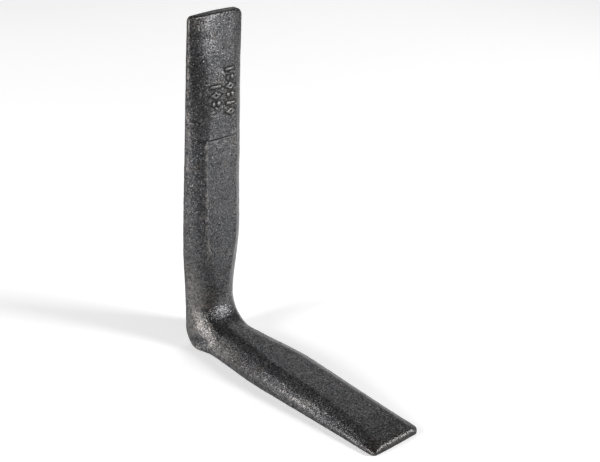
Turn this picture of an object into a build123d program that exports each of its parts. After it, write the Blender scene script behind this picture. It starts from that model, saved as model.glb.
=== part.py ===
from build123d import *
import math
import os

os.makedirs("parts", exist_ok=True)

# A drop-forged steel bar bent to a right angle: a tall upright arm and a
# shorter foot.  The two outer faces are flat.  The inner side of each arm is
# raised, with a flat land between two sloping shoulders, and thins out to the
# arm's tip.  The bend is narrower and thicker than the arms.
#
# Frame: the flat bottom face lies on z = 0, the upright stands along +Z, the
# foot points along +X, and the width is along Y.  The origin is the middle of
# the bottom face's length and width.  All sizes are in mm.

# Outline
UPRIGHT_HEIGHT = 198.0
FOOT_LENGTH = 155.5
BAR_WIDTH = 38.0
WAIST_WIDTH = 30.0
UPRIGHT_TIP_WIDTH = 37.0
FOOT_TIP_WIDTH = 36.4
WAIST_END = 6.0               # the waist is at its narrowest up to here, from the heel
KNEE = 70.0                   # and has run out here
BEND_FLARE = 2.6              # the bend's sides lean out by this, towards the inside
FLARE_END = 44.0
TIP_CORNER_RADIUS = 2.6

# Bend
HEEL_RADIUS = 9.5             # outside corner
CROWN_RADIUS = 12.7           # inside corner, along the middle
BEND_CENTRE = 27.0            # its distance from both outer faces
CROWN_THICKNESS = BEND_CENTRE - CROWN_RADIUS

# Land: the flat on the inner side of each arm
UPRIGHT_LAND_ROOT = 15.6      # its height over the outer face, at the bend
UPRIGHT_STEP_AT = 128.0
UPRIGHT_STEP_THICKNESS = 10.6
UPRIGHT_STEP = 0.4
UPRIGHT_TIP_THICKNESS = 4.8
FOOT_LAND_ROOT = 15.7
FOOT_TAPER_AT = 112.0
FOOT_TAPER_THICKNESS = 11.2
FOOT_MID_TAPER_AT = 136.0
FOOT_MID_TAPER_THICKNESS = 8.4
FOOT_TIP_THICKNESS = 4.3
TIP_BEVEL = 0.9

# Shoulders: each runs from the side wall up to the land
WALL_BEND = 7.6
WALL_KNEE = 5.4
WALL_KNEE_AT = 52.0
UPRIGHT_WALL_TIP = 3.0
FOOT_WALL_TIP = 2.1
RIDGE_BEND = 4.2              # half-width of the top that the shoulders meet at
UPRIGHT_RIDGE_ARM = 9.0
UPRIGHT_RIDGE_TIP = 8.3       # from the step up
FOOT_RIDGE_ARM = 7.0
FOOT_RIDGE_TIP = 8.6
RIDGE_OVER_LAND = 1.2         # the top stands this far over the land, which cuts it
LAND_START = 46.0
LAND_FULL = 80.0
WALL_FILLET_BEND = 4.5
WALL_FILLET_TIP = 1.0
RIDGE_FILLET_BEND = 7.0
RIDGE_FILLET_ARM = 2.0

# Flash left on both sides of the heel, in the plane of the bottom face
EAR_START = 5.0
EAR_PEAK = 12.5
EAR_END = 24.0
EAR_HALF_WIDTH = 18.2
EAR_THICKNESS = 2.4

# Raised marks on the upright's upper land: plain lozenges, bars and pairs of dots
MARK_HEIGHT = 0.5
MARK_ROOT = 1.0               # how deep each mark is rooted in the land
MARK_SPAN = 7.0
MARK_WIDTH = 3.8
MARK_STROKE = 1.1
MARK_PITCH = 4.8
RIGHT_ROW = (5.9, 142.2, ["lozenge", "bar", "dots", "lozenge", "dots", "bar"])
LEFT_ROW = (-4.7, 148.2, ["dots", "lozenge", "bar"])

# Working allowances
SKIRT = 4.0                   # the lofted bar is this much oversize, then trimmed
WIDE = 60.0

HEEL_X = -FOOT_LENGTH / 2
HALF_WAIST = WAIST_WIDTH / 2
HALF_BAR = BAR_WIDTH / 2


def ease(value, start, end):
    """0 before start, 1 after end, and a smooth S between them."""
    t = min(max((value - start) / (end - start), 0.0), 1.0)
    return t * t * (3 - 2 * t)


def along(value, start, end):
    """0 at start, 1 at end, in a straight line."""
    return min(max((value - start) / (end - start), 0.0), 1.0)


def half_width(d, length, tip_width):
    """Half the bar's width at d from the heel."""
    waisted = HALF_WAIST + (HALF_BAR - HALF_WAIST) * ease(d, WAIST_END, KNEE)
    return waisted + (tip_width / 2 - HALF_BAR) * along(d, KNEE, length)


def flare(d):
    """How much wider the bar is at the shoulder than at the outer face."""
    return BEND_FLARE * (1 - ease(d, 0, FLARE_END))


def wall_height(d, length, tip_wall):
    """Height of the side wall, where the shoulder's line meets it."""
    wall = WALL_BEND + (WALL_KNEE - WALL_BEND) * ease(d, WAIST_END, WALL_KNEE_AT)
    return wall + (tip_wall - WALL_KNEE) * along(d, KNEE, length)


def upright_land(z):
    """Thickness at the upright's land."""
    if z <= UPRIGHT_STEP_AT:
        t = along(z, BEND_CENTRE, UPRIGHT_STEP_AT)
        return UPRIGHT_LAND_ROOT + (UPRIGHT_STEP_THICKNESS - UPRIGHT_LAND_ROOT) * t
    t = (z - UPRIGHT_STEP_AT) / (UPRIGHT_HEIGHT - UPRIGHT_STEP_AT)
    raised = UPRIGHT_STEP_THICKNESS + UPRIGHT_STEP
    return raised + (UPRIGHT_TIP_THICKNESS - raised) * t


def foot_land(x):
    """Thickness at the foot's land."""
    if x <= FOOT_TAPER_AT:
        t = along(x, BEND_CENTRE, FOOT_TAPER_AT)
        return FOOT_LAND_ROOT + (FOOT_TAPER_THICKNESS - FOOT_LAND_ROOT) * t
    if x <= FOOT_MID_TAPER_AT:
        t = along(x, FOOT_TAPER_AT, FOOT_MID_TAPER_AT)
        return FOOT_TAPER_THICKNESS + (FOOT_MID_TAPER_THICKNESS - FOOT_TAPER_THICKNESS) * t
    t = (x - FOOT_MID_TAPER_AT) / (FOOT_LENGTH - FOOT_MID_TAPER_AT)
    return FOOT_MID_TAPER_THICKNESS + (FOOT_TIP_THICKNESS - FOOT_MID_TAPER_THICKNESS) * t


def upright_ridge(z):
    """Half-width of the top on the upright, beyond the bend."""
    return UPRIGHT_RIDGE_ARM if z <= UPRIGHT_STEP_AT else UPRIGHT_RIDGE_TIP


def foot_ridge(x):
    """Half-width of the top on the foot, beyond the bend."""
    t = along(x, FOOT_TAPER_AT, FOOT_LENGTH)
    return FOOT_RIDGE_ARM + (FOOT_RIDGE_TIP - FOOT_RIDGE_ARM) * t


def draw_section(plane, width, lean, wall, ridge, top, skirt, wall_fillet, ridge_fillet):
    """One cross-section: x across the bar, y inwards from the outer face."""
    with BuildSketch(plane) as section:
        with BuildLine():
            outer = [(width, -skirt), (width + lean, wall), (ridge, top)]
            mirrored = [(-x, y) for x, y in reversed(outer)]
            radii = [wall_fillet, ridge_fillet, ridge_fillet, wall_fillet]
            FilletPolyline(*outer, *mirrored, radius=radii)
            Line((-width, -skirt), (width, -skirt))
        make_face()
    return section.sketch.face()


def arm_section(plane, d, length, tip_width, tip_wall, land, ridge_arm):
    """The cross-section at d from the heel, on a straight arm."""
    spread = ease(d, BEND_CENTRE, KNEE)
    thin = along(d, BEND_CENTRE, length)
    return draw_section(
        plane,
        half_width(d, length, tip_width),
        flare(d),
        wall_height(d, length, tip_wall),
        RIDGE_BEND + (ridge_arm - RIDGE_BEND) * spread,
        CROWN_THICKNESS + (land + RIDGE_OVER_LAND - CROWN_THICKNESS) * ease(d, LAND_START, LAND_FULL),
        SKIRT,
        WALL_FILLET_BEND + (WALL_FILLET_TIP - WALL_FILLET_BEND) * thin,
        RIDGE_FILLET_BEND + (RIDGE_FILLET_ARM - RIDGE_FILLET_BEND) * spread,
    )


def bend_section(angle):
    """The cross-section on a plane through the bend's centre line."""
    a = math.radians(angle)
    inwards = Vector(math.cos(a), 0, math.sin(a))
    centre = Vector(HEEL_X + BEND_CENTRE, 0, BEND_CENTRE)
    plane = Plane(
        origin=centre - inwards * BEND_CENTRE,
        x_dir=(0, 1, 0),
        z_dir=(math.sin(a), 0, -math.cos(a)),
    )
    to_corner = BEND_CENTRE / max(math.cos(a), math.sin(a)) - BEND_CENTRE
    from_heel = BEND_CENTRE * (1 - math.tan(min(a, math.pi / 2 - a)))
    return draw_section(
        plane,
        half_width(from_heel, UPRIGHT_HEIGHT, UPRIGHT_TIP_WIDTH),
        flare(from_heel),
        wall_height(from_heel, UPRIGHT_HEIGHT, UPRIGHT_WALL_TIP),
        RIDGE_BEND,
        CROWN_THICKNESS,
        SKIRT + to_corner,
        WALL_FILLET_BEND,
        RIDGE_FILLET_BEND,
    )


def mark(kind):
    """One raised mark, drawn flat with its span along x."""
    if kind == "bar":
        SlotOverall(MARK_SPAN, MARK_STROKE)
    if kind == "dots":
        with Locations((-MARK_SPAN / 4, 0), (MARK_SPAN / 4, 0)):
            Circle(MARK_STROKE)
    if kind == "lozenge":
        lozenge(MARK_SPAN, MARK_WIDTH)
        lozenge(MARK_SPAN - 4 * MARK_STROKE, MARK_WIDTH - 2 * MARK_STROKE, mode=Mode.SUBTRACT)


def lozenge(span, width, mode=Mode.ADD):
    """A diamond, span long in x and width wide in y."""
    corners = [(span / 2, 0), (0, width / 2), (-span / 2, 0), (0, -width / 2)]
    Polygon(*corners, mode=mode)


# The upright's tapered land, with x along the bar's width and y up the arm
taper_rise = UPRIGHT_HEIGHT - UPRIGHT_STEP_AT
taper_fall = upright_land(UPRIGHT_HEIGHT) - UPRIGHT_STEP_THICKNESS - UPRIGHT_STEP
taper_land = Plane(
    origin=(HEEL_X + UPRIGHT_STEP_THICKNESS + UPRIGHT_STEP, 0, UPRIGHT_STEP_AT),
    x_dir=(0, 1, 0),
    z_dir=(taper_rise, 0, -taper_fall),
)

# Stations of the lofted bar, measured from the heel
UPRIGHT_STATIONS = [202, 186, 170, 154, 140, 130, 126, 116, 103, 90, 75, 62, 50, 38, BEND_CENTRE]
BEND_ANGLES = range(10, 90, 10)
FOOT_STATIONS = [BEND_CENTRE, 38, 50, 62, 75, 90, 104, 118, 132, 146, 159]


def upright_section(z):
    """The upright's cross-section at height z."""
    level = Plane(origin=(HEEL_X, 0, z), x_dir=(0, 1, 0), z_dir=(0, 0, -1))
    size = (z, UPRIGHT_HEIGHT, UPRIGHT_TIP_WIDTH, UPRIGHT_WALL_TIP, upright_land(z), upright_ridge(z))
    return arm_section(level, *size)


def foot_section(x):
    """The foot's cross-section at x from the heel."""
    station = Plane(origin=(HEEL_X + x, 0, 0), x_dir=(0, 1, 0), z_dir=(1, 0, 0))
    size = (x, FOOT_LENGTH, FOOT_TIP_WIDTH, FOOT_WALL_TIP, foot_land(x), foot_ridge(x))
    return arm_section(station, *size)


# The forging
with BuildPart() as forged_angle_bar:
    sections = [upright_section(z) for z in UPRIGHT_STATIONS]
    sections += [bend_section(angle) for angle in BEND_ANGLES]
    sections += [foot_section(x) for x in FOOT_STATIONS]
    loft(sections, ruled=True)

    # Flash at the heel, on both sides
    with BuildSketch(Plane.XY.offset(-SKIRT)):
        for side in (-1, 1):
            with BuildLine():
                start = (HEEL_X + EAR_START, side * HALF_WAIST)
                peak = (HEEL_X + EAR_PEAK, side * EAR_HALF_WIDTH)
                end = (HEEL_X + EAR_END, side * HALF_WAIST)
                Spline(start, peak, end)
                Line(end, start)
            make_face()
    extrude(amount=SKIRT + EAR_THICKNESS)

    # The side view trims the bar to its flat outer faces, its lands and its tips
    with BuildSketch(Plane.XZ):
        with BuildLine():
            Polyline(
                (HEEL_X, HEEL_RADIUS),
                (HEEL_X, UPRIGHT_HEIGHT),
                (HEEL_X + UPRIGHT_TIP_THICKNESS - TIP_BEVEL, UPRIGHT_HEIGHT),
                (HEEL_X + UPRIGHT_TIP_THICKNESS, UPRIGHT_HEIGHT - TIP_BEVEL),
                (HEEL_X + UPRIGHT_STEP_THICKNESS + UPRIGHT_STEP, UPRIGHT_STEP_AT),
                (HEEL_X + UPRIGHT_STEP_THICKNESS, UPRIGHT_STEP_AT),
                (HEEL_X + UPRIGHT_LAND_ROOT, BEND_CENTRE),
                (HEEL_X + BEND_CENTRE, BEND_CENTRE),
                (HEEL_X + BEND_CENTRE, FOOT_LAND_ROOT),
                (HEEL_X + FOOT_TAPER_AT, FOOT_TAPER_THICKNESS),
                (HEEL_X + FOOT_MID_TAPER_AT, FOOT_MID_TAPER_THICKNESS),
                (HEEL_X + FOOT_LENGTH - TIP_BEVEL, FOOT_TIP_THICKNESS),
                (HEEL_X + FOOT_LENGTH, FOOT_TIP_THICKNESS - TIP_BEVEL),
                (HEEL_X + FOOT_LENGTH, 0),
                (HEEL_X + HEEL_RADIUS, 0),
            )
            RadiusArc((HEEL_X + HEEL_RADIUS, 0), (HEEL_X, HEEL_RADIUS), HEEL_RADIUS)
        make_face()
    extrude(amount=WIDE, both=True, mode=Mode.INTERSECT)

    # Rounded corners at both tips
    for plane, length, width in (
        (Plane.YZ, UPRIGHT_HEIGHT, UPRIGHT_TIP_WIDTH),
        (Plane(origin=(HEEL_X, 0, 0), x_dir=(0, 1, 0), z_dir=(0, 0, -1)), FOOT_LENGTH, FOOT_TIP_WIDTH),
    ):
        with BuildSketch(plane):
            for side in (-1, 1):
                middle = (side * (width / 2 - TIP_CORNER_RADIUS), length - TIP_CORNER_RADIUS)
                outside = (side * (width / 2 + TIP_CORNER_RADIUS), length + TIP_CORNER_RADIUS)
                with BuildLine():
                    Line(middle, (middle[0], outside[1]))
                    Line((middle[0], outside[1]), outside)
                    Line(outside, (outside[0], middle[1]))
                    Line((outside[0], middle[1]), middle)
                make_face()
                with Locations(middle):
                    Circle(TIP_CORNER_RADIUS, mode=Mode.SUBTRACT)
        extrude(amount=WIDE * 2, both=True, mode=Mode.SUBTRACT)

    # Raised marks, in two rows up the upright
    with BuildSketch(taper_land.offset(-MARK_ROOT)):
        for row_y, row_z, kinds in (RIGHT_ROW, LEFT_ROW):
            for place, kind in enumerate(kinds):
                with Locations((row_y, row_z - UPRIGHT_STEP_AT + place * MARK_PITCH)):
                    mark(kind)
    extrude(amount=MARK_ROOT + MARK_HEIGHT)

forged_angle_bar.part.label = "forged_angle_bar"
export_step(forged_angle_bar.part, "parts/forged_angle_bar.step")
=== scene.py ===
import itertools
import math

import bmesh
import bpy
import numpy as np
from mathutils import Matrix, Vector


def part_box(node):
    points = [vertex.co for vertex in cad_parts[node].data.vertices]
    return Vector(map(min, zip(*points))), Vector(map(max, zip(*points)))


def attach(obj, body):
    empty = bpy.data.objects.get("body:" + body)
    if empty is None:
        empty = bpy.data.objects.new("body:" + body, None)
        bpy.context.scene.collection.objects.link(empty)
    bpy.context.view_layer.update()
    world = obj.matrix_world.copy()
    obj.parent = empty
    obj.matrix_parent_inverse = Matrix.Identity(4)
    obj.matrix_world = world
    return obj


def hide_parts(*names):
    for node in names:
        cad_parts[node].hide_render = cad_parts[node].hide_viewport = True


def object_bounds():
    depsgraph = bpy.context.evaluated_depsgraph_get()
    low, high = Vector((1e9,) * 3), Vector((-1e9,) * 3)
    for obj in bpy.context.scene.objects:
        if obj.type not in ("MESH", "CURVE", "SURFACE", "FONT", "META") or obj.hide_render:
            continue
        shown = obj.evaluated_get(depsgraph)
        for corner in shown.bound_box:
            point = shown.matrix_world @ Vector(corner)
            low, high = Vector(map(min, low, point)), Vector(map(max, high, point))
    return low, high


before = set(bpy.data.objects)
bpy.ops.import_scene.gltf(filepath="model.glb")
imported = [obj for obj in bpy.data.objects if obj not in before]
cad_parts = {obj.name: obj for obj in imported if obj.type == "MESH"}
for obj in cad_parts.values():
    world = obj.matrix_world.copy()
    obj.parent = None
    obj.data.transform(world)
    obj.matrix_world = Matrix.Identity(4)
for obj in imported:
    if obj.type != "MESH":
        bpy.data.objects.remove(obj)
cad_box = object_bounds()

# ---------------------------------------------------------------- dimensions, mm
MM = 0.001
NODE = "forged_angle_bar"
node_low, node_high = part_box(NODE)
HEEL_X = node_low.x / MM
HEIGHT = node_high.z / MM
LENGTH = (node_high.x - node_low.x) / MM

BAR_WIDTH = 38.0
WAIST_WIDTH = 30.0
UPRIGHT_TIP_WIDTH = 37.0
FOOT_TIP_WIDTH = 36.4
WAIST_END = 6.0
KNEE = 70.0
BEND_FLARE = 2.6
FLARE_END = 44.0
HEEL_RADIUS = 9.5
CROWN_RADIUS = 12.7
BEND_CENTRE = 27.0
CROWN_THICKNESS = BEND_CENTRE - CROWN_RADIUS

UPRIGHT_LAND_ROOT = 15.6
STEP_AT = 128.0
STEP_THICKNESS = 10.6
STEP = 0.4
UPRIGHT_TIP_THICKNESS = 4.8
FOOT_LAND_ROOT = 15.7
FOOT_TAPER_AT = 112.0
FOOT_TAPER_THICKNESS = 11.2
FOOT_MID_TAPER_AT = 136.0
FOOT_MID_TAPER_THICKNESS = 8.4
FOOT_TIP_THICKNESS = 4.3

WALL_BEND = 7.6
WALL_KNEE = 5.4
WALL_KNEE_AT = 52.0
UPRIGHT_WALL_TIP = 3.0
FOOT_WALL_TIP = 2.1
RIDGE_BEND = 4.2
UPRIGHT_RIDGE_ARM = 9.0
UPRIGHT_RIDGE_TIP = 8.3
NEAR_RIDGE_EXTRA = 1.7        # the land reaches this much further on the -Y side, below the step
FOOT_RIDGE_ARM = 7.0
FOOT_RIDGE_TIP = 8.6
FOOT_NEAR_RIDGE_EXTRA = 1.5
RIDGE_OVER_LAND = 1.2
LAND_START = 46.0
LAND_FULL = 80.0
SKIRT = 4.0

EAR_START = 1.0
EAR_PEAK = 12.5
EAR_END = 24.0
EAR_REACH = 2.7               # how far the flash stands out of the waist's side
EAR_THICKNESS = 2.4

MARK_HEIGHT = 0.5
MARK_SPAN = 7.0
MARK_WIDTH = 3.8
MARK_STROKE = 1.1
MARK_PITCH = 4.8
# Where rust has settled, from the heel: place, radius and strength
STAINS = (((13, -8, 28), 6, 1), ((151, -14, 3), 5, 1), ((3, -14, 193), 6, 1), ((12, 12, 150), 9, 1))
# The ends of each scratch, from the heel
SCRATCHES = (((4.5, -18.8, 79.2), (8, -13.8, 83.0)), ((10.5, -12.6, 86.3), (12, -10.2, 86.6)),
             ((97, -17.6, 5.5), (101, -16.0, 7.0)), ((103, -18.0, 5.0), (106, -16.2, 6.6)))
SCRATCH_WIDTH = 0.5
SCRATCH_REACH = 6.0           # surfaces further behind or before a scratch don't have it
SCRATCH_WEAR = 1.4
# Painted highlights, partly rubbing that has brightened the surface, in the same way as the stains
BURNISH_AND_HIGHLIGHT_SPOTS = (((5.3, -7.5, 193), 6, 1), ((6.5, -8, 182), 6, 0.9), ((14.4, -2.5, 25.5), 5.5, 0.8),
             ((143, 0, 7), 16, 0.35))
POLISHED = 45.0               # the bend is smoother than the arms, out to here
POLISH_FADE = 30.0
STEP_LINE_DEPTH = 0.3
STEP_LINE_WIDTH = 0.55
STEP_LINE_BELOW = 0.45        # the line lies this far below the step
LAND_EDGE_RUB_AND_HIGHLIGHT = (50.0, 66.0)  # the land's near edge gets rubbing and a painted highlight from here up to the step
# the wall's edge gets rubbing and a painted highlight between these heights
WALL_EDGE_RUB_AND_HIGHLIGHT = (60.0, 120.0)
# Each row of marks: place across, lowest mark's height, and the marks going up
RIGHT_ROW = (5.9, 142.2, ["lozenge", "bar", "dots", "lozenge", "dots", "bar"])
LEFT_ROW = (-4.7, 148.2, ["dots", "lozenge", "bar"])

# The skin: what forging and handling do to the plain shape
SKIN_INSET = 0.1             # flat outer faces stay this far in, so that their grain has room
EDGE_RADIUS = 0.75
WALL_ROUND_BEND = 19.0
UPRIGHT_NEAR_WALL_TIP = 2.3   # the wall is a little thinner at the tip on the -Y side
UPRIGHT_WALL_ROUND = (11.0, 0.9)   # at the knee and at the tip
FOOT_WALL_ROUND = (12.0, 1.2)
LAND_ROUND_BEND = 9.0
UPRIGHT_LAND_ROUND = (2.2, 9.0)   # below the step and above it
FOOT_LAND_ROUND = (4.0, 16.0)
SHOULDER_ROUND = 60.0
CREST_AT = (0.66, 0.5)        # where the shoulder stands out most, from wall to land: bend and arms
UPRIGHT_BULGE = (1.1, 0.1)    # how far the middle of the shoulder stands out, at the bend and at the tip
FOOT_BULGE = (1.5, 0.05)
LAND_BOW = 0.45               # the upright's tapered land is this convex along its length
LAND_CROWN = (0.1, 0.8)       # and this convex across, below the step and above it
CROWN_MIDDLE = 0.6            # this share of the crown is added in the middle, the rest cut at the edges
# How much of the stretch before and after each rounding it may take up
SHARES = ((0.3, 0.12), (0.86, 0.84), (0.14, 0.55), (0.42, 0.7))
NEAR_CORNER = 2.6
FAR_CORNER = 4.6
TIP_ROUND_OUTER = 0.6
UPRIGHT_TIP_ROUND = 1.3
FOOT_TIP_ROUND = 2.1
UPRIGHT_END_BOW = 0.9         # how far the middle of each end stands out
FOOT_END_BOW = 0.4
END_BOW_REACH = 9.0           # over this much of the arm
LEAST_TOP_OVER_WALL = 0.3
LEAST_SHOULDER_WIDTH = 1.5

# Noise, as the height, wavelength and seed of each layer
LAND_EDGE_WOBBLE = ((0.45, 9.0, 11), (0.2, 3.5, 12))
WALL_EDGE_WOBBLE = ((0.3, 13.0, 13),)
GRAIN = ((0.12, 17.0, 21), (0.05, 6.5, 22), (0.04, 2.6, 23), (0.03, 1.4, 24))
PITS = ((0.6, 2.1, 25), (0.5, 4.7, 26))
PIT_START, PIT_FULL = 0.42, 0.8
PIT_DEPTH = 0.09
RUB_AND_HIGHLIGHT_PATCHES = ((1.0, 2.4, 31),)
SPOT_PATCHES = ((0.5, 2.2, 41),)
SPOT_BASE = 0.7

# Painted shade on the shoulders and on the tip's side walls, and darker colour towards the upright's
# tip, out of 1
TIP_DARKENING = 0.42
TIP_WALL_PAINTED_SHADE = 0.35
NEAR_SHOULDER_PAINTED_SHADE = 0.22
FAR_SHOULDER_PAINTED_SHADE = 0.4
MOST_SHADE_AND_DARKENING = 0.8

# Mesh density
SEGMENTS = (25, 4, 4, 4, 19)  # outer face, wall, both halves of the shoulder and land, each side
ARCS = (4, 8, 7, 7)           # outer edge, wall edge, shoulder and land edge
CAP_RINGS = (0.3, 0.6, 0.85)
TIP_ROWS = (0, 0.05, 0.15, 0.3, 0.5, 0.8, 1.15, 1.6, 2.1, 2.7, 3.35, 4.05, 4.8)   # from each tip
ROW_SPACING = 0.72
MARK_ROWS = (138.0, 176.0)    # rows are closer together here
MARK_ROW_SPACING = 0.42
STEP_ROWS = 2.0               # and this far either side of the step
STEP_ROW_SPACING = 0.3
BEND_TURNS = 54
AWAY_FROM_MARKS = 9.0         # stands for any distance that is too far to matter


# ---------------------------------------------------------------- the plain shape
def ease(value, start, end):
    """0 before start, 1 after end, and a smooth S between them."""
    t = np.clip((value - start) / (end - start), 0.0, 1.0)
    return t * t * (3 - 2 * t)


def along(value, start, end):
    """0 at start, 1 at end, in a straight line."""
    return np.clip((value - start) / (end - start), 0.0, 1.0)


def lattice_noise(points, wavelength, seed):
    """Smooth noise between -1 and 1 at each point."""
    size = 48
    cells = np.random.default_rng(seed).uniform(-1, 1, (size,) * 3)
    at = np.asarray(points) / wavelength
    low = np.floor(at).astype(int)
    t = at - low
    t = t * t * (3 - 2 * t)
    total = np.zeros(len(at))
    for corner in itertools.product((0, 1), repeat=3):
        weight = np.prod(np.where(corner, t, 1 - t), axis=1)
        total += weight * cells[tuple(((low + corner) % size).T)]
    return total


def layered_noise(points, layers):
    """Several layers of noise together, each with its height, wavelength and seed."""
    return sum(height * lattice_noise(points, wavelength, seed) for height, wavelength, seed in layers)


def upright_land(z):
    """Thickness at the upright's land."""
    if z <= STEP_AT:
        t = along(z, BEND_CENTRE, STEP_AT)
        return UPRIGHT_LAND_ROOT + (STEP_THICKNESS - UPRIGHT_LAND_ROOT) * t
    raised = STEP_THICKNESS + STEP
    t = along(z, STEP_AT, HEIGHT)
    return raised + (UPRIGHT_TIP_THICKNESS - raised) * t + LAND_BOW * 4 * t * (1 - t)


def upright_ridge(z, side):
    """Half-width of the top that one shoulder climbs to, on the upright."""
    below = UPRIGHT_RIDGE_ARM + (NEAR_RIDGE_EXTRA if side < 0 else 0)
    return UPRIGHT_RIDGE_TIP + (below - UPRIGHT_RIDGE_TIP) * (1 - ease(z, STEP_AT - 1, STEP_AT + 1))


def foot_ridge(x, side):
    """The same on the foot."""
    extra = FOOT_NEAR_RIDGE_EXTRA if side < 0 else 0
    return extra + FOOT_RIDGE_ARM + (FOOT_RIDGE_TIP - FOOT_RIDGE_ARM) * along(x, FOOT_TAPER_AT, LENGTH)


def upright_land_round(z):
    """Radius of the land's edge on the upright: crisp below the step, soft above it."""
    below, above = UPRIGHT_LAND_ROUND
    return below + (above - below) * ease(z, STEP_AT, STEP_AT + 14)


def foot_land_round(x):
    """The same on the foot."""
    return FOOT_LAND_ROUND[0] + (FOOT_LAND_ROUND[1] - FOOT_LAND_ROUND[0]) * along(x, KNEE, LENGTH)


def foot_land(x):
    """Thickness at the foot's land."""
    t = along(x, BEND_CENTRE, FOOT_TAPER_AT)
    first = FOOT_LAND_ROOT + (FOOT_TAPER_THICKNESS - FOOT_LAND_ROOT) * t
    t = along(x, FOOT_TAPER_AT, FOOT_MID_TAPER_AT)
    second = (FOOT_MID_TAPER_THICKNESS - FOOT_TAPER_THICKNESS) * t
    t = along(x, FOOT_MID_TAPER_AT, LENGTH)
    return first + second + (FOOT_TIP_THICKNESS - FOOT_MID_TAPER_THICKNESS) * t


def rounded(distance, radius):
    """How far a rounded end has drawn in at this distance from the end."""
    short = max(radius - distance, 0.0)
    return radius - math.sqrt(max(radius * radius - short * short, 0.0))


def outer_radius(a):
    """Distance from the bend's centre to the outer corner, in direction a."""
    square = BEND_CENTRE / max(math.cos(a), math.sin(a))
    reach = BEND_CENTRE - HEEL_RADIUS
    b = reach * (math.cos(a) + math.sin(a))
    disc = b * b - 2 * reach * reach + HEEL_RADIUS * HEEL_RADIUS
    on_arc = abs(math.tan(a - math.pi / 4)) < math.tan(math.pi / 4 - math.atan(reach / BEND_CENTRE))
    return b + math.sqrt(disc) if on_arc and disc > 0 else square


def half_section(wide, wall, ridge, base, crest_at, bulge, rounds):
    """Half of a cross-section, from the outer face's middle to the land's."""
    wall, ridge = np.array(wall, float), np.array(ridge, float)
    across = (ridge - wall) / np.linalg.norm(ridge - wall)
    crest = wall + (ridge - wall) * crest_at + bulge * np.array([across[1], -across[0]])
    corners = [np.array(p, float) for p in ((0, base), wide, wall, crest, ridge, (0, ridge[1]))]
    points = []
    cursor = corners[0]
    for i in range(1, 5):
        back, on = corners[i - 1] - corners[i], corners[i + 1] - corners[i]
        back_length, on_length = np.linalg.norm(back), np.linalg.norm(on)
        back, on = back / back_length, on / on_length
        angle = math.acos(float(np.clip(back @ on, -1, 1)))
        before, after = SHARES[i - 1]
        tangent = rounds[i - 1] / math.tan(angle / 2)
        start = corners[i] + back * min(tangent, before * back_length)
        end = corners[i] + on * min(tangent, after * on_length)
        for t in np.linspace(0, 1, SEGMENTS[i - 1], endpoint=False):
            points.append(cursor + (start - cursor) * t)
        for t in np.linspace(0, 1, ARCS[i - 1], endpoint=False):
            points.append((1 - t) ** 2 * start + 2 * t * (1 - t) * corners[i] + t * t * end)
        cursor = end
    for t in np.linspace(0, 1, SEGMENTS[4] + 1):
        points.append(cursor + (corners[5] - cursor) * t)
    return np.array(points)


class Arm:
    """What differs between the two arms."""

    def __init__(self, length, tip_width, tip_walls, ridge, wall_rounds, land_round,
                 bulges, tip_round, crowns):
        self.length = length
        self.tip_width = tip_width
        self.tip_walls = tip_walls
        self.ridge = ridge
        self.wall_rounds = wall_rounds
        self.land_round = land_round
        self.bulges = bulges
        self.tip_round = tip_round
        self.crowns = crowns


UPRIGHT = Arm(HEIGHT, UPRIGHT_TIP_WIDTH, (UPRIGHT_WALL_TIP, UPRIGHT_NEAR_WALL_TIP), upright_ridge,
              UPRIGHT_WALL_ROUND, upright_land_round, UPRIGHT_BULGE, UPRIGHT_TIP_ROUND, LAND_CROWN)
FOOT = Arm(LENGTH, FOOT_TIP_WIDTH, (FOOT_WALL_TIP, FOOT_WALL_TIP), foot_ridge, FOOT_WALL_ROUND,
           foot_land_round, FOOT_BULGE, FOOT_TIP_ROUND, (LAND_CROWN[0], LAND_CROWN[0]))


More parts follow.
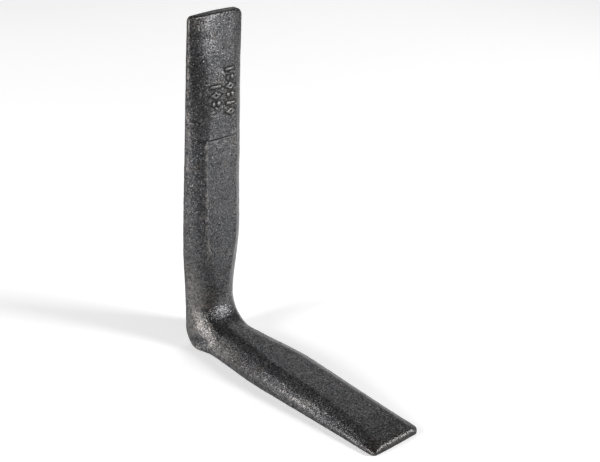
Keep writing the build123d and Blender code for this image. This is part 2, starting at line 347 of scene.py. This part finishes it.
def section(d, arm, land, base, skirt, wobble):
    """The cross-section at d from the heel, as points across the bar and inwards."""
    end = arm.length - d
    waisted = (WAIST_WIDTH + (BAR_WIDTH - WAIST_WIDTH) * ease(d, WAIST_END, KNEE)) / 2
    half = waisted + (arm.tip_width - BAR_WIDTH) / 2 * along(d, KNEE, arm.length)
    lean = BEND_FLARE * (1 - ease(d, 0, FLARE_END))
    bend_wall = WALL_BEND + (WALL_KNEE - WALL_BEND) * ease(d, WAIST_END, WALL_KNEE_AT)
    over = CROWN_THICKNESS + (land + RIDGE_OVER_LAND - CROWN_THICKNESS) * ease(d, LAND_START, LAND_FULL)
    top = min(over, land) - rounded(end, arm.tip_round)
    base += rounded(end, TIP_ROUND_OUTER)

    straight = ease(d, BEND_CENTRE, KNEE)      # 0 in the bend, 1 where the arm is straight
    out = along(d, KNEE, arm.length)
    wall_round = arm.wall_rounds[0] + (arm.wall_rounds[1] - arm.wall_rounds[0]) * out
    rounds = (
        EDGE_RADIUS,
        WALL_ROUND_BEND + (wall_round - WALL_ROUND_BEND) * straight,
        SHOULDER_ROUND,
        LAND_ROUND_BEND + (arm.land_round(d) - LAND_ROUND_BEND) * straight,
    )
    crest_at = CREST_AT[0] + (CREST_AT[1] - CREST_AT[0]) * straight
    crown = arm.crowns[0] + (arm.crowns[1] - arm.crowns[0]) * ease(d, STEP_AT, STEP_AT + 8)
    halves = []
    for side, corner, tip_wall in zip((1, -1), (FAR_CORNER, NEAR_CORNER), arm.tip_walls):
        slope_wall = bend_wall + (tip_wall - WALL_KNEE) * out
        wall = min(slope_wall, top - LEAST_TOP_OVER_WALL)
        bulge = arm.bulges[0] + (arm.bulges[1] - arm.bulges[0]) * out
        bulge *= min(1, max(top - wall, 0) / 5)
        ridge = RIDGE_BEND + (arm.ridge(d, side) - RIDGE_BEND) * straight
        if over > land:
            ridge += (over - land) / (over - slope_wall) * (half + lean - ridge)
        w = half - SKIN_INSET / 2 - rounded(end, corner)
        at_base = w + lean * (base + skirt) / (wall + skirt)
        shifts = wobble(side)
        land_edge = min(ridge + shifts[0], w - LEAST_SHOULDER_WIDTH)
        corners = (at_base, base), (w + lean, wall + shifts[1]), (land_edge, top)
        points = half_section(*corners, base, crest_at, bulge, rounds)
        height = along(points[:, 1], wall, top)
        points[:, 1] += crown * height * (CROWN_MIDDLE - np.minimum((points[:, 0] / land_edge) ** 2, 1))
        halves.append(points)
    right, left = halves
    left = left[::-1][1:-1] * (-1, 1)
    return np.vstack([right, left])


def wobbles(travel):
    """How far the land's edge and the wall's edge stray, this far along the bar."""

    def at(side):
        point = [[travel, 50.0 * side, 0.0]]
        return layered_noise(point, LAND_EDGE_WOBBLE)[0], layered_noise(point, WALL_EDGE_WOBBLE)[0]

    return at


def rows():
    """Stations along the bar, from the upright's tip round the bend to the foot's tip."""
    z = [HEIGHT - e for e in TIP_ROWS]
    while z[-1] > BEND_CENTRE + 0.5:
        spacing = MARK_ROW_SPACING if MARK_ROWS[0] < z[-1] < MARK_ROWS[1] else ROW_SPACING
        if abs(z[-1] - STEP_AT) < STEP_ROWS:
            spacing = STEP_ROW_SPACING
        z.append(z[-1] - spacing)
    z[-1] = BEND_CENTRE
    x = [LENGTH - e for e in TIP_ROWS]
    while x[-1] > BEND_CENTRE + 0.5:
        x.append(x[-1] - ROW_SPACING)
    x[-1] = BEND_CENTRE
    turns = [math.radians(angle) for angle in np.linspace(0, 90, BEND_TURNS)[1:-1]]
    return z, turns, x[::-1]


def place_upright(points, z):
    return np.column_stack([HEEL_X + points[:, 1], points[:, 0], np.full(len(points), z)])


def place_bend(points, a):
    inwards = np.array([math.cos(a), 0, math.sin(a)])
    centre = np.array([HEEL_X + BEND_CENTRE, 0, BEND_CENTRE])
    placed = centre - inwards * (BEND_CENTRE - points[:, 1:2])
    placed[:, 1] = points[:, 0]
    return placed


def place_foot(points, x):
    return np.column_stack([np.full(len(points), HEEL_X + x), points[:, 0], points[:, 1]])


def build_rings():
    """Every cross-section in place, as one array: station, point, xyz."""
    rings = []
    upright, turns, foot = rows()
    for z in upright:
        points = section(z, UPRIGHT, upright_land(z), SKIN_INSET, SKIRT, wobbles(z))
        rings.append(place_upright(points, z))
    for a in turns:
        from_heel = BEND_CENTRE * (1 - math.tan(min(a, math.pi / 2 - a)))
        base = BEND_CENTRE - outer_radius(a) + SKIN_INSET
        to_corner = BEND_CENTRE / max(math.cos(a), math.sin(a)) - BEND_CENTRE
        travel = BEND_CENTRE - a / (math.pi / 2) * 2 * BEND_CENTRE
        skirt = SKIRT + to_corner
        points = section(from_heel, UPRIGHT, UPRIGHT_LAND_ROOT, base, skirt, wobbles(travel))
        rings.append(place_bend(points, a))
    for x in foot:
        points = section(x, FOOT, foot_land(x), SKIN_INSET, SKIRT, wobbles(-x))
        rings.append(place_foot(points, x))
    return np.array(rings)


def cap(ring, axis):
    """Smaller and smaller rings on the tip's end face. axis is the one across its thickness."""
    middle = (ring[:, axis].max() + ring[:, axis].min()) / 2
    half_thick = (ring[:, axis].max() - ring[:, axis].min()) / 2
    half_wide = ring[:, 1].max()
    rings = []
    for f in CAP_RINGS:
        inner = ring.copy()
        inner[:, axis] = middle + (ring[:, axis] - middle) * (1 - f)
        inner[:, 1] = ring[:, 1] * (1 - f * half_thick / half_wide)
        rings.append(inner)
    return rings


# ---------------------------------------------------------------- the forged skin
def mark_distance(across, up):
    """Distance to the edge of the nearest raised mark, negative inside it."""
    nearest = np.full(len(across), AWAY_FROM_MARKS)

    def raise_by(distance):
        np.minimum(nearest, distance, out=nearest)

    def diamond(dx, dz, a, b):
        return (np.abs(dx) / a + np.abs(dz) / b - 1) * a * b / math.hypot(a, b)

    for row_y, row_z, kinds in (RIGHT_ROW, LEFT_ROW):
        for place, kind in enumerate(kinds):
            dx, dz = across - row_y, up - (row_z + place * MARK_PITCH)
            if kind == "bar":
                reach = np.maximum(np.abs(dx) - (MARK_SPAN - MARK_STROKE) / 2, 0)
                raise_by(np.hypot(reach, dz) - MARK_STROKE / 2)
            if kind == "dots":
                raise_by(np.hypot(np.abs(dx) - MARK_SPAN / 4, dz) - MARK_STROKE)
            if kind == "lozenge":
                outside = diamond(dx, dz, MARK_SPAN / 2, MARK_WIDTH / 2)
                inside = diamond(dx, dz, MARK_SPAN / 2 - 2 * MARK_STROKE, MARK_WIDTH / 2 - MARK_STROKE)
                raise_by(np.maximum(outside, -inside))
    return nearest


def add_flash(points):
    """Pushes out the thin flash left on both sides of the heel."""
    x, y, z = points[:, 0] - HEEL_X, points[:, 1], points[:, 2]
    rise = ease(x, EAR_START, EAR_PEAK) * (1 - ease(x, EAR_PEAK, EAR_END))
    thin = 1 - ease(z, EAR_THICKNESS * 0.3, EAR_THICKNESS * 2.7)
    across = along(np.abs(y), WAIST_WIDTH / 4, WAIST_WIDTH / 2)
    points[:, 1] += np.sign(y) * EAR_REACH * rise * thin * across


def corner_lines(count):
    """1 on the vertices of the land's edges, and 1 on those of the wall's, for count rings."""
    half = sum(SEGMENTS) + sum(ARCS) + 1
    place = np.arange(2 * half - 2)
    place = np.where(place < half, place, 2 * half - 2 - place)
    wall_start = sum(SEGMENTS[:2]) + ARCS[0]
    land_start = sum(SEGMENTS[:4]) + sum(ARCS[:3])
    land_line = np.abs(place - land_start - ARCS[3] / 2) <= ARCS[3] / 2
    wall_line = np.abs(place - wall_start - 1.5) <= 1.5
    return np.tile(land_line, count).astype(float), np.tile(wall_line, count).astype(float)


def bow_ends(points):
    """Draws both ends in towards their corners, so that their middles stand out."""
    across = np.minimum((points[:, 1] / (BAR_WIDTH / 2)) ** 2, 1)
    points[:, 2] -= UPRIGHT_END_BOW * across * ease(points[:, 2], HEIGHT - END_BOW_REACH, HEIGHT)
    tip = HEEL_X + LENGTH
    points[:, 0] -= FOOT_END_BOW * across * ease(points[:, 0], tip - END_BOW_REACH, tip)


def make_skin():
    """The whole bar as one closed mesh, its vertices, and where the land's and wall's edges are."""
    rings = build_rings()
    start_caps = cap(rings[0], 0)[::-1]
    end_caps = cap(rings[-1], 2)
    rings = np.array([*start_caps, *rings, *end_caps])
    count, across = rings.shape[:2]
    points = rings.reshape(-1, 3)
    add_flash(points)
    bow_ends(points)

    mesh = bpy.data.meshes.new("forged_skin")
    first = np.arange(count - 1)[:, None] * across + np.arange(across)[None, :]
    following = np.arange(count - 1)[:, None] * across + (np.arange(across)[None, :] + 1) % across
    quads = np.stack([first, first + across, following + across, following], axis=-1).reshape(-1, 4)
    faces = quads.tolist()
    faces.append(list(range(across)))
    faces.append(list(range((count - 1) * across, count * across))[::-1])
    mesh.from_pydata((points * MM).tolist(), [], faces)
    work = bmesh.new()
    work.from_mesh(mesh)
    big = [f for f in work.faces if len(f.verts) > 4]
    bmesh.ops.triangulate(work, faces=big)
    bmesh.ops.recalc_face_normals(work, faces=work.faces)
    work.to_mesh(mesh)
    work.free()
    mesh.update()
    return mesh, points, corner_lines(count)


def normals_of(mesh):
    """Each vertex's normal."""
    values = np.zeros(len(mesh.vertices) * 3, np.float32)
    mesh.vertex_normals.foreach_get("vector", values)
    return values.reshape(-1, 3).astype(float)


def put_points(mesh, points):
    """Sets the vertices, in mm, kept inside the CAD box."""
    low, high = np.array(cad_box[0]), np.array(cad_box[1])
    mesh.vertices.foreach_set("co", np.clip(points * MM, low, high).astype(np.float32).ravel())
    mesh.update()


def neighbours_mean(mesh, values, rounds):
    """Each vertex's value averaged with its neighbours', several times over."""
    edges = np.zeros(len(mesh.edges) * 2, int)
    mesh.edges.foreach_get("vertices", edges)
    a, b = edges.reshape(-1, 2).T
    degree = np.bincount(a, minlength=len(values)) + np.bincount(b, minlength=len(values))
    out = np.array(values, float)
    flat = out.ndim == 1
    if flat:
        out = out[:, None]
    for _ in range(rounds):
        total = np.zeros_like(out)
        for column in range(out.shape[1]):
            total[:, column] = np.bincount(a, out[b, column], len(out))
            total[:, column] += np.bincount(b, out[a, column], len(out))
        out = 0.5 * out + 0.5 * total / degree[:, None]
    return out[:, 0] if flat else out


def relief(points, normals):
    """How far each vertex moves along its normal, how much it is on a mark, and how much painted shade
    it gets around the marks and along the step line.
    """
    out = layered_noise(points, GRAIN)
    out -= PIT_DEPTH * ease(layered_noise(points, PITS), PIT_START, PIT_FULL)
    y, z = points[:, 1], points[:, 2]
    land = normals[:, 0] > 0.8
    distance = np.where(land & (z > STEP_AT), mark_distance(y, z), AWAY_FROM_MARKS)
    marks = 1 - ease(distance, -0.3, 0.3)
    # painted shadow in a ring around each raised mark
    around = ease(distance, 0.0, 0.3) * (1 - ease(distance, 0.7, 1.5))
    # painted shade along the step line, over its shallow groove
    line = np.exp(-(((z - STEP_AT + STEP_LINE_BELOW) / STEP_LINE_WIDTH) ** 2))
    line = line * (1 - 0.7 * ease(y, 2.0, 9.0))     # it fades towards +Y
    line = np.where(land & (np.abs(y) < UPRIGHT_RIDGE_ARM + 1), line, 0)
    out = out * (1 - 0.6 * marks) + MARK_HEIGHT * marks - STEP_LINE_DEPTH * line
    return out, marks, np.maximum(0.9 * around, line)


def scratched(points):
    """1 along the middle of each scratch, and 0 away from them."""
    out = np.zeros(len(points))
    for start, end in SCRATCHES:
        start = np.array(start, float) + (HEEL_X, 0, 0)
        span = np.array(end, float) + (HEEL_X, 0, 0) - start
        t = np.clip((points - start) @ span / (span @ span), 0, 1)
        aside = points - start - t[:, None] * span
        aside = np.hypot(aside[:, 1], aside[:, 2])
        deep = np.abs(points[:, 0] - start[0] - t * span[0])
        out = np.maximum(out, (1 - ease(aside, 0, 2 * SCRATCH_WIDTH)) * (deep < SCRATCH_REACH))
    return out


def spots(points, places):
    """Uneven spots, strongest in the middle of each of the places listed."""
    out = np.zeros(len(points))
    for place, radius, strength in places:
        away = np.linalg.norm(points - np.array(place, float) - (HEEL_X, 0, 0), axis=1)
        out = np.maximum(out, strength * np.exp(-((away / radius) ** 2)))
    return out * (SPOT_BASE + layered_noise(points, SPOT_PATCHES))


def add_value(mesh, name, values):
    """A number for each vertex, which the material can read."""
    layer = mesh.attributes.new(name, "FLOAT", "POINT")
    layer.data.foreach_set("value", np.asarray(values, np.float32))


def rubbed_and_highlit_edges(points, land_line, wall_line):
    """Where handling has rubbed the land's near edge and the wall's edges, with a painted highlight
    along both, and the scratches.
    """
    up = points[:, 2]
    patches = ease(layered_noise(points, RUB_AND_HIGHLIGHT_PATCHES), -0.35, 0.35)
    near_side = points[:, 1] < 0
    below_step = 1 - ease(up, STEP_AT - 2, STEP_AT)
    on_land_edge = land_line * ease(up, *LAND_EDGE_RUB_AND_HIGHLIGHT) * below_step * near_side
    on_wall_edge = wall_line * ease(up, *WALL_EDGE_RUB_AND_HIGHLIGHT)
    edges = patches * np.maximum(on_land_edge, on_wall_edge)
    return np.maximum(edges, SCRATCH_WEAR * scratched(points))


def painted_shade_and_tip_darkening(points, normals):
    """Painted shade on the shoulders and the tip's side walls, and darkening towards the upright's tip,
    at each vertex, out of 1.
    """
    up = points[:, 2]
    faces_in = ease(np.maximum(normals[:, 0], normals[:, 2]), 0.3, 0.6)
    leans_aside = ease(np.abs(normals[:, 1]), 0.12, 0.4)
    # painted shade on the shoulders, found from which way they face
    shoulder = leans_aside * faces_in * ease(up, POLISHED + 20, POLISHED + 50)
    shoulder *= np.where(points[:, 1] > 0, FAR_SHOULDER_PAINTED_SHADE, NEAR_SHOULDER_PAINTED_SHADE)
    side_wall = ease(np.abs(normals[:, 1]), 0.75, 0.9)
    # darker towards the upright's tip, with painted shade on its side walls
    tip = (TIP_DARKENING + TIP_WALL_PAINTED_SHADE * side_wall) * ease(up, STEP_AT, STEP_AT + 25)
    return np.minimum(tip + shoulder, MOST_SHADE_AND_DARKENING)


def end_faces(points, normals):
    """Whether each vertex is on one of the two tips' end faces."""
    top = (points[:, 2] > HEIGHT - 1.6) & (normals[:, 2] > 0.85)
    return top | ((points[:, 0] > HEEL_X + LENGTH - 1) & (normals[:, 0] > 0.85))


mesh, points, edge_lines = make_skin()
normals = normals_of(mesh)
moved, marks, shaded = relief(points, normals)
points = points + normals * moved[:, None]
put_points(mesh, points)

smooth_shape = neighbours_mean(mesh, points, 10)
bulge = np.einsum("ij,ij->i", points - smooth_shape, normals_of(mesh))
from_heel = np.maximum(points[:, 2], points[:, 0] - HEEL_X)
polish = 1 - ease(from_heel, POLISHED, POLISHED + POLISH_FADE)
# wear on convex places and scratches, and a painted highlight along the land's near edge and the wall's
# edge
add_value(mesh, "wear_and_edge_highlight", np.maximum(ease(bulge, 0.02, 0.24), rubbed_and_highlit_edges(points, *edge_lines)))
add_value(mesh, "stain", spots(points, STAINS))
# painted highlights on the tip's land, the crown and the foot, partly rubbed brightness
add_value(mesh, "burnish_and_highlight", spots(points, BURNISH_AND_HIGHLIGHT_SPOTS))
# painted shade on the shoulders and the tip's side walls, and darker colour towards the upright's tip
add_value(mesh, "scale", painted_shade_and_tip_darkening(points, normals))
# the two end faces are made darker and rougher
add_value(mesh, "cut", neighbours_mean(mesh, end_faces(points, normals), 2))
add_value(mesh, "polish", polish)
# painted shade in hollows (less in the bend), around the marks and along the step line
add_value(mesh, "painted_shade_mask", np.maximum(ease(-bulge, 0.03, 0.2) * (1 - 0.85 * polish), shaded))
add_value(mesh, "mark", marks)

skin = bpy.data.objects.new("forged_angle_bar_skin", mesh)
bpy.context.scene.collection.objects.link(skin)
mesh.polygons.foreach_set("use_smooth", [True] * len(mesh.polygons))
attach(skin, "root")
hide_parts(NODE)


# ---------------------------------------------------------------- materials
class Nodes:
    """Short ways to add shader nodes to one material."""

    def __init__(self, name):
        self.material = bpy.data.materials.new(name)
        self.material.use_nodes = True
        self.tree = self.material.node_tree
        self.shader = self.tree.nodes["Principled BSDF"]
        self.place = self.add("ShaderNodeTexCoord").outputs["Object"]

    def add(self, kind, **settings):
        node = self.tree.nodes.new(kind)
        for key, value in settings.items():
            setattr(node, key, value)
        return node

    def join(self, source, socket):
        self.tree.links.new(source, socket)

    def noise(self, size_mm, detail=3.0, rough=0.55):
        node = self.add("ShaderNodeTexNoise")
        node.inputs["Scale"].default_value = 1 / (size_mm * MM)
        node.inputs["Detail"].default_value = detail
        node.inputs["Roughness"].default_value = rough
        self.join(self.place, node.inputs["Vector"])
        return node.outputs["Fac"]

    def remap(self, source, low, high, to_low=0.0, to_high=1.0):
        node = self.add("ShaderNodeMapRange", interpolation_type="SMOOTHSTEP")
        limits = {"From Min": low, "From Max": high, "To Min": to_low, "To Max": to_high}
        for socket, value in limits.items():
            node.inputs[socket].default_value = value
        self.join(source, node.inputs["Value"])
        return node.outputs["Result"]

    def maths(self, operation, a, b):
        node = self.add("ShaderNodeMath", operation=operation)
        for socket, value in zip(node.inputs, (a, b)):
            if isinstance(value, (int, float)):
                socket.default_value = value
            else:
                self.join(value, socket)
        return node.outputs[0]

    def mix(self, factor, a, b):
        node = self.add("ShaderNodeMix", data_type="RGBA")
        for socket, value in zip((node.inputs[0], node.inputs[6], node.inputs[7]), (factor, a, b)):
            if isinstance(value, (int, float)):
                socket.default_value = value
            elif isinstance(value, tuple):
                socket.default_value = (*value, 1)
            else:
                self.join(value, socket)
        return node.outputs[2]

    def value(self, name):
        return self.add("ShaderNodeAttribute", attribute_name=name).outputs["Fac"]


PEBBLE_SIZE = 1.3             # mm, as is the next
GRAIN_BUMP = 0.36

# Colours, as linear red, green and blue
SCALE_DARK = (0.037, 0.038, 0.042)
SCALE_LIGHT = (0.060, 0.060, 0.063)
SCALE_MOTTLE = (0.090, 0.090, 0.091)
RUST = (0.070, 0.046, 0.031)
# colour of the painted shade and of the darker tip
PAINTED_SHADE_AND_TIP_DARK = (0.008, 0.008, 0.009)
# colour of the painted highlights
PAINTED_HIGHLIGHT_STEEL = (0.125, 0.125, 0.13)
GRIT = (0.007, 0.007, 0.008)
# colour of the painted glints
PAINTED_GLINT = (0.24, 0.235, 0.23)
# colour of wear and of the painted edge highlights
WORN_STEEL_AND_HIGHLIGHT = (0.158, 0.147, 0.139)
MARK_TOP = (0.10, 0.10, 0.10)
# colour of the painted shade
PAINTED_SHADE_COLOUR = (0.004, 0.004, 0.004)
DARKER_END_COLOUR = (0.02, 0.019, 0.017)


def forged_steel():
    """Dark scale over steel: uneven sheen, rubbed edges, rust stains and a pebbled grain, with painted
    highlights on the edges and in spots, painted glints, and painted shade in hollows, around the marks
    and on the shoulders.
    """
    n = Nodes("forged_steel_scale")
    patches = n.remap(n.noise(22, 4), 0.35, 0.68)
    mottle = n.remap(n.noise(4.5, 5, 0.65), 0.36, 0.66)
    grit = n.noise(1.0, 2, 0.7)
    # painted glints: tiny bright specks in the colour
    painted_glints = n.remap(n.noise(0.8, 2), 0.59, 0.68)
    painted_shade_mask, polish, cut = n.value("painted_shade_mask"), n.value("polish"), n.value("cut")

    colour = n.mix(patches, SCALE_DARK, SCALE_LIGHT)
    colour = n.mix(n.maths("MULTIPLY", mottle, 0.5), colour, SCALE_MOTTLE)
    rust = n.maths("MULTIPLY", n.remap(n.noise(9, 5, 0.7), 0.55, 0.73), 0.6)
    rust = n.maths("MULTIPLY", rust, n.remap(polish, 0, 1, 1, 0.15))
    rust = n.maths("MAXIMUM", rust, n.maths("MULTIPLY", n.value("stain"), 0.75))
    colour = n.mix(rust, colour, RUST)
    # painted shade on the shoulders and the tip's side walls, and darker towards the upright's tip
    colour = n.mix(n.value("scale"), colour, PAINTED_SHADE_AND_TIP_DARK)
    # painted highlights, partly rubbed brightness
    colour = n.mix(n.maths("MULTIPLY", n.value("burnish_and_highlight"), 0.75), colour, PAINTED_HIGHLIGHT_STEEL)
    colour = n.mix(n.remap(grit, 0.58, 0.34, 0.0, 0.92), colour, GRIT)
    # painted glints
    colour = n.mix(n.maths("MULTIPLY", painted_glints, 0.75), colour, PAINTED_GLINT)
    # wear, with a painted highlight along the land's near edge and the wall's edge
    worn_and_highlight = n.maths("MULTIPLY", n.value("wear_and_edge_highlight"), n.remap(n.noise(1.6, 3), 0.35, 0.62, 0.1, 0.9))
    colour = n.mix(worn_and_highlight, colour, WORN_STEEL_AND_HIGHLIGHT)
    colour = n.mix(n.maths("MULTIPLY", n.value("mark"), 0.5), colour, MARK_TOP)
    # painted shade: hollows, mark outlines and the step line go near black
    colour = n.mix(n.maths("MULTIPLY", painted_shade_mask, 0.9), colour, PAINTED_SHADE_COLOUR)
    # the end faces darker
    colour = n.mix(n.maths("MULTIPLY", cut, 0.8), colour, DARKER_END_COLOUR)
    n.join(colour, n.shader.inputs["Base Color"])

    rough = n.remap(n.noise(7, 5, 0.65), 0.3, 0.7, 0.17, 0.28)
    rough = n.maths("ADD", rough, n.remap(grit, 0.35, 0.65, 0.09, -0.04))
    rough = n.maths("SUBTRACT", rough, n.maths("MULTIPLY", polish, 0.03))
    rough = n.maths("ADD", rough, n.maths("MULTIPLY", painted_shade_mask, 0.15))
    rough = n.maths("ADD", rough, n.maths("MULTIPLY", cut, 0.22))
    n.join(rough, n.shader.inputs["Roughness"])
    # less specular where the shade is painted
    shine = n.maths("MULTIPLY", n.remap(painted_shade_mask, 0, 1, 1, 0.1), n.remap(grit, 0.36, 0.62, 0.25, 0.72))
    n.join(shine, n.shader.inputs["Specular IOR Level"])
    n.shader.inputs["Metallic"].default_value = 0.7
    n.shader.inputs["IOR"].default_value = 1.45

    pebbles = n.add("ShaderNodeTexVoronoi", feature="SMOOTH_F1")
    pebbles.inputs["Scale"].default_value = 1 / (PEBBLE_SIZE * MM)
    n.join(n.place, pebbles.inputs["Vector"])
    pebble_height = n.maths("MULTIPLY", pebbles.outputs["Distance"], 0.4)
    grain = n.maths("ADD", n.noise(0.95, 3, 0.65), pebble_height)
    bump = n.add("ShaderNodeBump")
    bump.inputs["Strength"].default_value = 1.0
    bump.inputs["Distance"].default_value = GRAIN_BUMP * MM
    n.join(grain, bump.inputs["Height"])
    n.join(bump.outputs[0], n.shader.inputs["Normal"])
    return n.material


mesh.materials.append(forged_steel())


# ---------------------------------------------------------------- floor, light and camera
FLOOR_RADIUS = 9.0            # metres, as is the next
FLOOR_GAP = 0.0002
FLOOR_GLOW = 0.32             # keeps the floor pale where the lamps don't reach
FLOOR_COLOURS = (0.86, 0.86, 0.86), (0.88, 0.88, 0.88)
WALLS_SEEN = 0.9
WALLS_LIGHT = 0.02
LAMP_DISTANCE = 1.2           # metres
LIGHTS_AIM = (0.0, 0.0, 0.08)

AZIMUTH = 44.333              # degrees, as are the next two
ELEVATION = 25.311
ROLL = 3.229
DISTANCE = 730.8
LENS = 79.277
SENSOR = 36.0
TARGET = (59.083, 15.969, 83.882)   # from the heel


def make_floor():
    """A plain pale disc under the bar."""
    work = bmesh.new()
    bmesh.ops.create_circle(work, cap_ends=True, segments=96, radius=FLOOR_RADIUS)
    floor_mesh = bpy.data.meshes.new("floor")
    work.to_mesh(floor_mesh)
    work.free()
    floor = bpy.data.objects.new("floor", floor_mesh)
    floor.location.z = -FLOOR_GAP
    bpy.context.scene.collection.objects.link(floor)
    n = Nodes("floor_paper")
    n.join(n.mix(n.noise(180, 2), *FLOOR_COLOURS), n.shader.inputs["Base Color"])
    n.shader.inputs["Roughness"].default_value = 0.9
    n.shader.inputs["Specular IOR Level"].default_value = 0.1
    n.shader.inputs["Emission Color"].default_value = (1, 1, 1, 1)
    n.shader.inputs["Emission Strength"].default_value = FLOOR_GLOW
    floor_mesh.materials.append(n.material)


def softbox(name, bearing, height, power, size=(0.55, 0.4)):
    """An area light facing the bar, at a bearing from +X towards +Y and a height, in degrees."""
    data = bpy.data.lights.new(name, "AREA")
    data.shape = "RECTANGLE"
    data.size, data.size_y = size
    data.energy = power
    lamp = bpy.data.objects.new(name, data)
    bearing, height = math.radians(bearing), math.radians(height)
    level = math.cos(height)
    towards = Vector((math.cos(bearing) * level, math.sin(bearing) * level, math.sin(height)))
    lamp.location = Vector(LIGHTS_AIM) + towards * LAMP_DISTANCE
    lamp.rotation_mode = "QUATERNION"
    lamp.rotation_quaternion = towards.to_track_quat("Z", "Y")
    bpy.context.scene.collection.objects.link(lamp)


def make_camera():
    """The camera, turned and placed as the picture's was."""
    azimuth, elevation, roll = (math.radians(v) for v in (AZIMUTH, ELEVATION, ROLL))
    back = Vector((
        math.sin(azimuth) * math.cos(elevation),
        -math.cos(azimuth) * math.cos(elevation),
        math.sin(elevation),
    ))
    right = Vector((math.cos(azimuth), math.sin(azimuth), 0))
    up = back.cross(right)
    rolled_right = right * math.cos(roll) + up * math.sin(roll)
    rolled_up = up * math.cos(roll) - right * math.sin(roll)
    data = bpy.data.cameras.new("camera")
    data.lens, data.sensor_width = LENS, SENSOR
    data.clip_start, data.clip_end = 0.01, 50.0
    camera = bpy.data.objects.new("camera", data)
    target = Vector((TARGET[0] + HEEL_X, TARGET[1], TARGET[2]))
    turned = Matrix((rolled_right, rolled_up, back)).transposed().to_4x4()
    camera.matrix_world = Matrix.Translation((target + back * DISTANCE) * MM) @ turned
    bpy.context.scene.collection.objects.link(camera)
    bpy.context.scene.camera = camera


def make_world():
    """Pale walls to look at, which put very little light on the bar."""
    world = bpy.data.worlds.new("studio")
    world.use_nodes = True
    nodes, links = world.node_tree.nodes, world.node_tree.links
    walls = nodes.new("ShaderNodeMapRange")
    walls.inputs["To Min"].default_value = WALLS_LIGHT
    walls.inputs["To Max"].default_value = WALLS_SEEN
    links.new(nodes.new("ShaderNodeLightPath").outputs["Is Camera Ray"], walls.inputs["Value"])
    links.new(walls.outputs["Result"], nodes["Background"].inputs["Strength"])
    nodes["Background"].inputs["Color"].default_value = (1, 1, 1, 1)
    bpy.context.scene.world = world


make_floor()
softbox("key", 262, 13, 17.5, size=(0.5, 0.58))
softbox("far_side", 37, 18, 20, size=(0.34, 0.5))
softbox("heel_side", 200, 26, 2.8)
softbox("back", 130, 30, 2.3)
make_camera()
make_world()
bpy.context.scene.view_settings.view_transform = "Standard"
